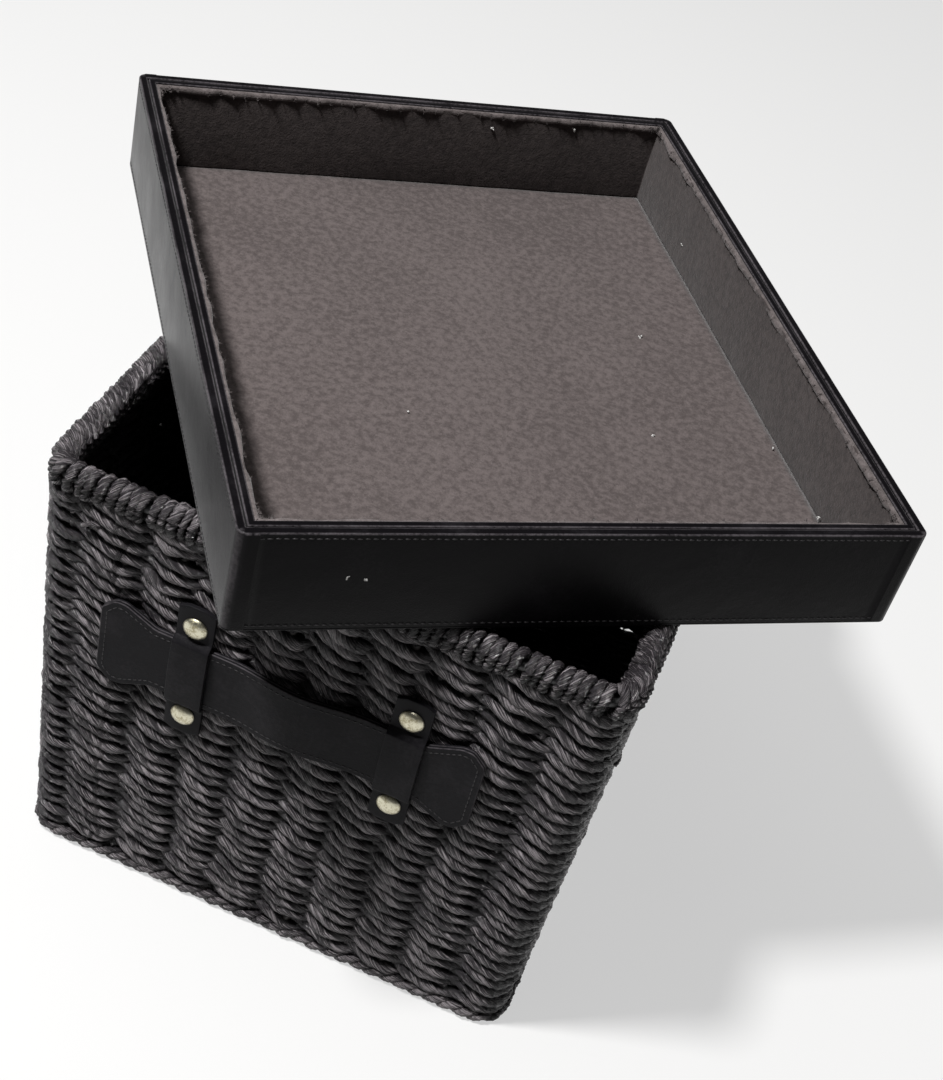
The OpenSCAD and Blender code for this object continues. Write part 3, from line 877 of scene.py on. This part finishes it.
# A darker copy of the suede for the lining's walls: painted shade.
SHADED_WALL_SUEDE = suede("taupe suede, darker copy for painted shade", (0.04, 0.0325, 0.0315), (0.066, 0.054, 0.052),
                   (0.11, 0.094, 0.09))
RAW_EDGE = suede("raw suede edge", (0.08, 0.068, 0.066), (0.14, 0.12, 0.118), (0.3, 0.27, 0.265))
print("suedes:", SUEDE.name, RAW_EDGE.name)

# %% Line the lid
def suede_unevenness(co):
    """How far glue and nap push the lining of the walls in and out."""
    p = co * 0.045
    return Vector((noise.noise(p), noise.noise(p + Vector((7, 3, 1))), 0)) * 0.45


wall_section = rounded([(IN_FACE, 5.2), (IN_FACE, 50.5), (IN_SUEDE, 50.5), (IN_SUEDE, 26), (IN_SUEDE, 5.2)],
                       0.6)
suede_walls = lid_ring("suede_walls", wall_section, SHADED_WALL_SUEDE, ["lid_lining_walls"],
                       suede_unevenness)


def to_edges(co):
    """How far a point of the lid lies in from its long sides and from its short ones."""
    return LID_W / 2 - abs(co.x), LID_D / 2 - abs(co.y)


FIBRES, FIBRE_R = 3000, 0.13


def raw_edge():
    """The cut edge of the lining round the top of its walls: a scalloped, fuzzy lip."""
    section = rounded([(IN_FACE - 0.3, 48.6), (IN_FACE - 0.3, 50.9), (IN_SUEDE, 51.0),
                       (IN_SUEDE + 0.5, 49.6), (IN_SUEDE + 0.2, 48.0)], 0.5, 2)
    bm = loft([lid_loop(inset, z) for inset, z in section])
    for v in bm.verts:
        to_side, to_end = to_edges(v.co)
        depth = min(to_side, to_end)
        inward = Vector((-math.copysign(1, v.co.x), 0, 0))
        if to_side >= to_end:
            inward = Vector((0, -math.copysign(1, v.co.y), 0))
        p = Vector((v.co.x, v.co.y, 0))
        wave = noise.noise(p * 0.11) + 0.6 * noise.noise(p * 0.33 + Vector((3, 1, 0)))
        reach = max(0.0, (depth - IN_FACE) / 1.9)
        v.co += inward * reach * (0.35 + 1.5 * wave)
        fray = 0.9 * noise.noise(p * 0.2 + Vector((9, 9, 0)))
        v.co.z += reach * (fray - 1.6 * max(0, noise.noise(p * 0.06)))
    edge = [v.co.copy() for v in bm.verts if min(to_edges(v.co)) > IN_SUEDE]
    fibres = []
    for i in chance.choice(len(edge), FIBRES):
        spot = edge[i]
        lean = Vector(chance.normal(0, 1, 3)) + Vector((-spot.x / 150, -spot.y / 180, 0.4)) * 1.6
        long = chance.uniform(0.8, 2.2)
        turn = lean.to_track_quat("Z", "Y").to_matrix().to_4x4()
        slim = Matrix.Diagonal((FIBRE_R, FIBRE_R, long, 1))
        fibres.append(Matrix.Translation(spot + lean.normalized() * long * 0.4) @ turn @ slim)
    set_down(bm, small_shape(bmesh.ops.create_cone, segments=3, radius1=1, radius2=0.2, depth=1), fibres)
    return as_piece(bm, "suede_raw_edge", RAW_EDGE, "lid", LID_FRAME)


tell(raw_edge())


def suede_floor():
    bm = bmesh.new()
    across, along = (LID_W - 2 * IN_FACE - 1.6) / 2, (LID_D - 2 * IN_FACE - 1.6) / 2
    bmesh.ops.create_grid(bm, x_segments=70, y_segments=84, size=1)
    bmesh.ops.scale(bm, verts=bm.verts, vec=(across, along, 1))
    for v in bm.verts:
        near = min(across - abs(v.co.x), along - abs(v.co.y))
        v.co.z = 5.25 + 0.25 * noise.noise(v.co * 0.03) - 0.4 * math.exp(-near / 1.5)
    for v in new_verts(bmesh.ops.extrude_face_region(bm, geom=bm.faces[:])):
        v.co.z = BOARD_TOP
    bmesh.ops.recalc_face_normals(bm, faces=bm.faces)
    return as_piece(bm, "suede_floor", SUEDE, "lid", LID_FRAME)


floor_lining = suede_floor()
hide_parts("lid_lining_floor")
tell(suede_walls, floor_lining)

# %% [markdown]
# A few crumbs of white lint cling to the suede and the leather: small balls, pushed out of shape.

# %% Lint
LINT = [(-44, -41, 5.9), (96, 27, 5.9), (76, -54, 5.9), (-18.5, 166.8, 48.5), (42.5, 166.9, 42.4),
        (90, 166.9, 45.3), (139.8, 97.6, 18.7), (137, -62, 5.9), (139.5, -115.4, 7.8),
        (-103.2, -177.4, 29.1), (-96.2, -177.4, 28)]


def lint():
    f = Finish("lint", Roughness=0.9)
    grain = f.speckle(f.place(), 2500, 2)
    white = f.done(Base_Color=f.mix(grain, (0.35, 0.34, 0.33), (0.75, 0.74, 0.72)))
    places = []
    for x, y, z in LINT:
        for _ in range(3):
            spot = Vector((x, y, z)) + Vector(chance.normal(0, 0.55, 3)) * 0.8
            turn = Vector(chance.normal(0, 1, 3)).to_track_quat("Z", "Y").to_matrix().to_4x4()
            size = Matrix.Diagonal((*chance.uniform(0.25, 0.75, 3), 1))
            places.append(LID_FRAME @ Matrix.Translation(spot) @ turn @ size)
    bm = bmesh.new()
    set_down(bm, small_shape(bmesh.ops.create_icosphere, subdivisions=2, radius=1), places)
    for v in bm.verts:
        v.co += noise.noise_vector(v.co * 3000) * 0.00018
    return as_piece(bm, "lint", white, "lid")


tell(lint())

# %% [markdown]
# The strap is two leathers sewn together near the edge. A few corners make its outline, which is
# bevelled round, given its thickness, and bevelled again so that the cut edge catches light. That top
# bevel is also painted paler: partly wear, partly a painted highlight.

# %% Cut the strap
KEEPER_X, KEEPER_W, STRAP_W = 52, 18, 36.5
SHOULDER_X, SLOPE_L, STRAP_HALF, TAB_W, TIP_W, STRAP_X = 66, 15, 93, 51, 38, -3.995
BACK_T, STRAP_T, SLIDE_GAP = 1.4, 1.6, 0.3
BOW, BOW_HALF = 3.5, 34


def strap_corners():
    tip = (TAB_W - TIP_W) / 2
    quarter = [(SHOULDER_X, STRAP_W / 2), (SHOULDER_X + SLOPE_L, TAB_W / 2),
               (STRAP_HALF - tip, TAB_W / 2), (STRAP_HALF, TIP_W / 2)]
    right = quarter + [(x, -y) for x, y in quarter[::-1]]
    return right + [(-x, -y) for x, y in right]


def bow(x):
    """How far the strap stands off the wall between its keepers: it is a little long for its place."""
    return BOW * math.cos(math.pi / 2 * x / BOW_HALF) ** 2 if abs(x) < BOW_HALF else 0


def strap_layer(name, side, word, node, low, high, inset, thin_edge):
    """One leather of the strap, from height low to high over the wall."""
    bm = bmesh.new()
    face = bm.faces.new([bm.verts.new((x, y, low)) for x, y in strap_corners()])
    if face.normal.z < 0:
        face.normal_flip()
    bmesh.ops.bevel(bm, geom=bm.verts[:], offset=1.6, segments=4, profile=0.5, affect="VERTICES", material=-1)
    if inset:
        rim = bmesh.ops.inset_region(bm, faces=bm.faces[:], thickness=inset)
        bmesh.ops.delete(bm, geom=rim["faces"], context="FACES")
    raised = new_verts(bmesh.ops.extrude_face_region(bm, geom=bm.faces[:]))
    bmesh.ops.translate(bm, verts=raised, vec=(0, 0, high - low))
    bmesh.ops.recalc_face_normals(bm, faces=bm.faces)
    edges = [e for e in bm.edges if abs(e.verts[0].co.z - e.verts[1].co.z) < 0.01]
    bmesh.ops.bevel(bm, geom=edges, offset=thin_edge, segments=3, profile=0.5, affect="EDGES", material=-1)
    # The top bevel is marked for the paler edge colour: partly wear, partly a painted highlight.
    edge_wear_and_highlight = bm.verts.layers.float.new("edge_wear_and_highlight")
    for v in bm.verts:
        v.co.x += STRAP_X
        v[edge_wear_and_highlight] = 1 if high - thin_edge + 0.02 < v.co.z < high - 0.02 else 0
    for x in np.linspace(-41, 41, 23):
        bmesh.ops.bisect_plane(bm, geom=bm.verts[:] + bm.edges[:] + bm.faces[:],
                               plane_co=(x, 0, 0), plane_no=(1, 0, 0))
    for v in bm.verts:
        v.co.z += bow(v.co.x)
    piece = as_piece(bm, name, STRAP_LEATHER, word + "_handle", wall_frame(side),
                     smooth=False)
    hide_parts(node)
    return piece


def inset_outline(points, inset):
    """The same corners, moved inward so that each edge lies inset further in."""
    moved = []
    n = len(points)
    for i in range(n):
        here = Vector(points[i])
        before = (here - Vector(points[i - 1])).normalized()
        after = (Vector(points[(i + 1) % n]) - here).normalized()
        normals = Vector((-before.y, before.x)), Vector((-after.y, after.x))
        half = (normals[0] + normals[1]).normalized()
        moved.append(here + half * (inset / half.dot(normals[0])))
    return moved


def strap_seams(side, word):
    corners = strap_corners()
    area = sum(a[0] * b[1] - a[1] * b[0] for a, b in zip(corners, corners[1:] + corners[:1]))
    inner = inset_outline(corners, math.copysign(3.0, area))
    top = SLIDE_GAP + BACK_T + STRAP_T
    line = []
    for a, b in zip(inner, inner[1:] + inner[:1]):
        parts = max(1, round((b - a).length / 3))
        line += [a.lerp(b, i / parts) for i in range(parts)]
    line = [(p.x + STRAP_X, p.y, top + bow(p.x + STRAP_X)) for p in line + line[:1]]
    return sew("strap_stitches_" + word, [(line, Vector((0, 0, 1)))], word + "_handle",
               wall_frame(side), 3.0, 0.3)


for side, word in ENDS:
    mid = SLIDE_GAP + BACK_T
    tell(strap_layer(f"strap_{word}_outer", side, word, f"strap_{word}", mid, mid + STRAP_T, 0, 0.5),
         strap_layer(f"strap_{word}_lining", side, word, f"strap_backing_{word}", SLIDE_GAP, mid, 0.25, 0.4),
         strap_seams(side, word))

# %% [markdown]
# A keeper is a short band riveted at both ends that bridges the strap. It is a strip of a grid,
# pushed out over the strap by a smooth step, then given its thickness and a soft edge.

# %% Bend the keepers
KEEPER_L, KEEPER_T, BRIDGE = 81, 2.2, 3.6
RIVET_GAP, RIVET_H = 57, 2.8


def smooth_step(x):
    x = max(0, min(1, x))
    return x * x * (3 - 2 * x)


def keeper(side, word, sx, hand):
    bm = bmesh.new()
    bmesh.ops.create_grid(bm, x_segments=4, y_segments=56, size=1)
    bmesh.ops.scale(bm, verts=bm.verts, vec=(KEEPER_W / 2, KEEPER_L / 2, 1))
    corners = [v for v in bm.verts if abs(v.co.x) > KEEPER_W / 2 - 0.1 and abs(v.co.y) > KEEPER_L / 2 - 0.1]
    for v in corners:
        v.co.y -= math.copysign(1.8, v.co.y)
        v.co.x -= math.copysign(0.5, v.co.x)
    half = STRAP_W / 2 + 2 * SLIDE_GAP
    for v in bm.verts:
        lift = smooth_step((half + 3.4 - abs(v.co.y)) / 3.4)
        v.co.z = lift * BRIDGE + 0.5 * math.cos(min(abs(v.co.y) / half, 1) * math.pi / 2)
        v.co.x += sx * KEEPER_X
    for v in new_verts(bmesh.ops.extrude_face_region(bm, geom=bm.faces[:])):
        v.co.z += KEEPER_T
    bmesh.ops.recalc_face_normals(bm, faces=bm.faces)
    name = f"keeper_{word}_{hand}_leather"
    piece = as_piece(bm, name, STRAP_LEATHER, "basket", wall_frame(side))
    soft = piece.modifiers.new("worn edge", "BEVEL")
    soft.width, soft.segments, soft.limit_method = 0.6 * MM, 3, "ANGLE"
    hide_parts(f"keeper_{word}_{hand}")
    return piece


tell(*(keeper(side, word, sx, hand) for side, word in ENDS for sx, hand in ((-1, "left"), (1, "right"))))

# %% [markdown]
# The rivets have low domes of pale nickel, rubbed so that the brass under it shows as warm specks.
# A dome is a short profile spun round its axis.

# %% Rivet heads
def rivet_metal(name, pale, warm):
    f = Finish(name, Metallic=1.0)
    here = f.place()
    fine = f.speckle(here, 1300, 4, 0.7)
    wide = f.speckle(here, 260, 3)
    worn = f.between(fine * 0.6 + wide * 0.4, 0.46, 0.6)
    shade = f.mix(worn, pale, warm)
    return f.done(Base_Color=shade, Roughness=0.3 + 0.25 * worn, Normal=f.relief(fine, 0.0002, 0.5))


NICKEL = rivet_metal("pale nickel", (0.66, 0.63, 0.49), (0.42, 0.38, 0.25))


def rivet_heads(side, word):
    bm = bmesh.new()
    profile = [(0, RIVET_H), (2.2, RIVET_H - 0.12), (4.2, RIVET_H - 0.75), (5.4, RIVET_H - 1.6),
               (5.95, RIVET_H - 2.35), (5.95, 0.12), (5.7, 0), (0, 0)]
    verts = [bm.verts.new((x, 0, z)) for x, z in profile]
    edges = [bm.edges.new(pair) for pair in zip(verts, verts[1:])]
    bmesh.ops.spin(bm, geom=verts + edges, cent=(0, 0, 0), axis=(0, 0, 1), angle=2 * math.pi,
                   steps=28, use_merge=True)
    bmesh.ops.remove_doubles(bm, verts=bm.verts, dist=0.001)
    bmesh.ops.recalc_face_normals(bm, faces=bm.faces)
    one = as_mesh(bm, "rivet")
    bm = bmesh.new()
    set_down(bm, one, [Matrix.Translation((sx * KEEPER_X, sy * RIVET_GAP / 2, KEEPER_T))
                       @ Matrix.Rotation(chance.uniform(0, 6), 4, "Z") for sx in (-1, 1) for sy in (-1, 1)])
    piece = as_piece(bm, f"rivet_domes_{word}", NICKEL, "basket", wall_frame(side))
    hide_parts(f"rivet_heads_{word}")
    return piece


tell(*(rivet_heads(side, word) for side, word in ENDS))

# %% [markdown]
# What stays as the CAD model made it lies inside the weave or the lid: wires, posts, stakes, rods,
# boards, and the rivets' posts and washers. They only need their finishes.

# %% Finishes for the hidden parts
def plain_finish(name, low, high, scale, rough, metallic=0.0):
    f = Finish(name, Metallic=metallic)
    grain = f.speckle(f.place(), scale, 4)
    shade = f.mix(grain, low, high)
    return f.done(Base_Color=shade, Roughness=rough + 0.2 * grain, Normal=f.relief(grain, 0.0003, 0.4))


CANE = plain_finish("dyed cane", (0.012, 0.011, 0.011), (0.05, 0.043, 0.04), 300, 0.55)
IRON = plain_finish("dark wire", (0.04, 0.04, 0.042), (0.11, 0.11, 0.11), 200, 0.4, 0.9)
BOARD = plain_finish("grey board", (0.3, 0.27, 0.23), (0.42, 0.38, 0.33), 400, 0.85)
HIDDEN = {"stakes_": CANE, "base_rods": CANE, "rim_wire": IRON, "base_wire": IRON, "corner_posts": IRON,
          "lid_top_board": BOARD, "lid_side_frame": BOARD, "lid_liner_board_": BOARD,
          "rivet_posts_": NICKEL, "rivet_washers_": NICKEL}
for name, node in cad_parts.items():
    for start, finish in HIDDEN.items():
        if name.startswith(start):
            node.data.materials.clear()
            node.data.materials.append(finish)
print("CAD nodes dressed")

# %% [markdown]
# The floor is a plain white sheet. It keeps the object's shadow, and for the camera and reflections
# part of its white is its own glow, so it looks bright without more light on the box.

# %% Floor and light
FLOOR_GLOW, WORLD_LIGHT = 0.56, 0.06


def white_floor():
    f = Finish("white paper", **{"Roughness": 0.9, "Base Color": (0.34, 0.338, 0.333),
                                 "Specular IOR Level": 0.0})
    rays = f.node("ShaderNodeLightPath")
    seen = rays.out("Is Camera Ray") + rays.out("Is Glossy Ray") + rays.out("Is Transmission Ray")
    glow = f.node("ShaderNodeEmission", None, {"Color": (1, 1, 1), "Strength": seen * FLOOR_GLOW})
    both = f.node("ShaderNodeAddShader", None, {0: Wire(f, f.shader.outputs[0]), 1: glow})
    f.tree.links.new(both.socket, f.tree.nodes["Material Output"].inputs["Surface"])
    return f.material


bm = bmesh.new()
bmesh.ops.create_grid(bm, x_segments=1, y_segments=1, size=6)
floor_mesh = as_mesh(bm, "floor")
floor_mesh.materials.append(white_floor())
floor = bpy.data.objects.new("floor", floor_mesh)
show(floor)

world = bpy.data.worlds.new("studio")
bpy.context.scene.world = world
world.use_nodes = True
background = world.node_tree.nodes["Background"].inputs
background["Color"].default_value = (1, 1, 1, 1)
background["Strength"].default_value = WORLD_LIGHT


AIM = Vector((0, 0, 0.15))


def lamp(name, at, size, watts):
    light = bpy.data.lights.new(name, "AREA")
    light.shape, light.size, light.energy = "DISK", size, watts
    holder = bpy.data.objects.new(name, light)
    turn = (Vector(at) - AIM).to_track_quat("Z", "Y").to_matrix().to_4x4()
    holder.matrix_world = Matrix.Translation(at) @ turn
    show(holder)


lamp("key from the left", (-0.756, -0.675, 2.232), 0.28, 66)
lamp("soft light above", (-0.5, -0.1, 2.1), 1.6, 8)
bpy.context.scene.view_settings.view_transform = "Standard"
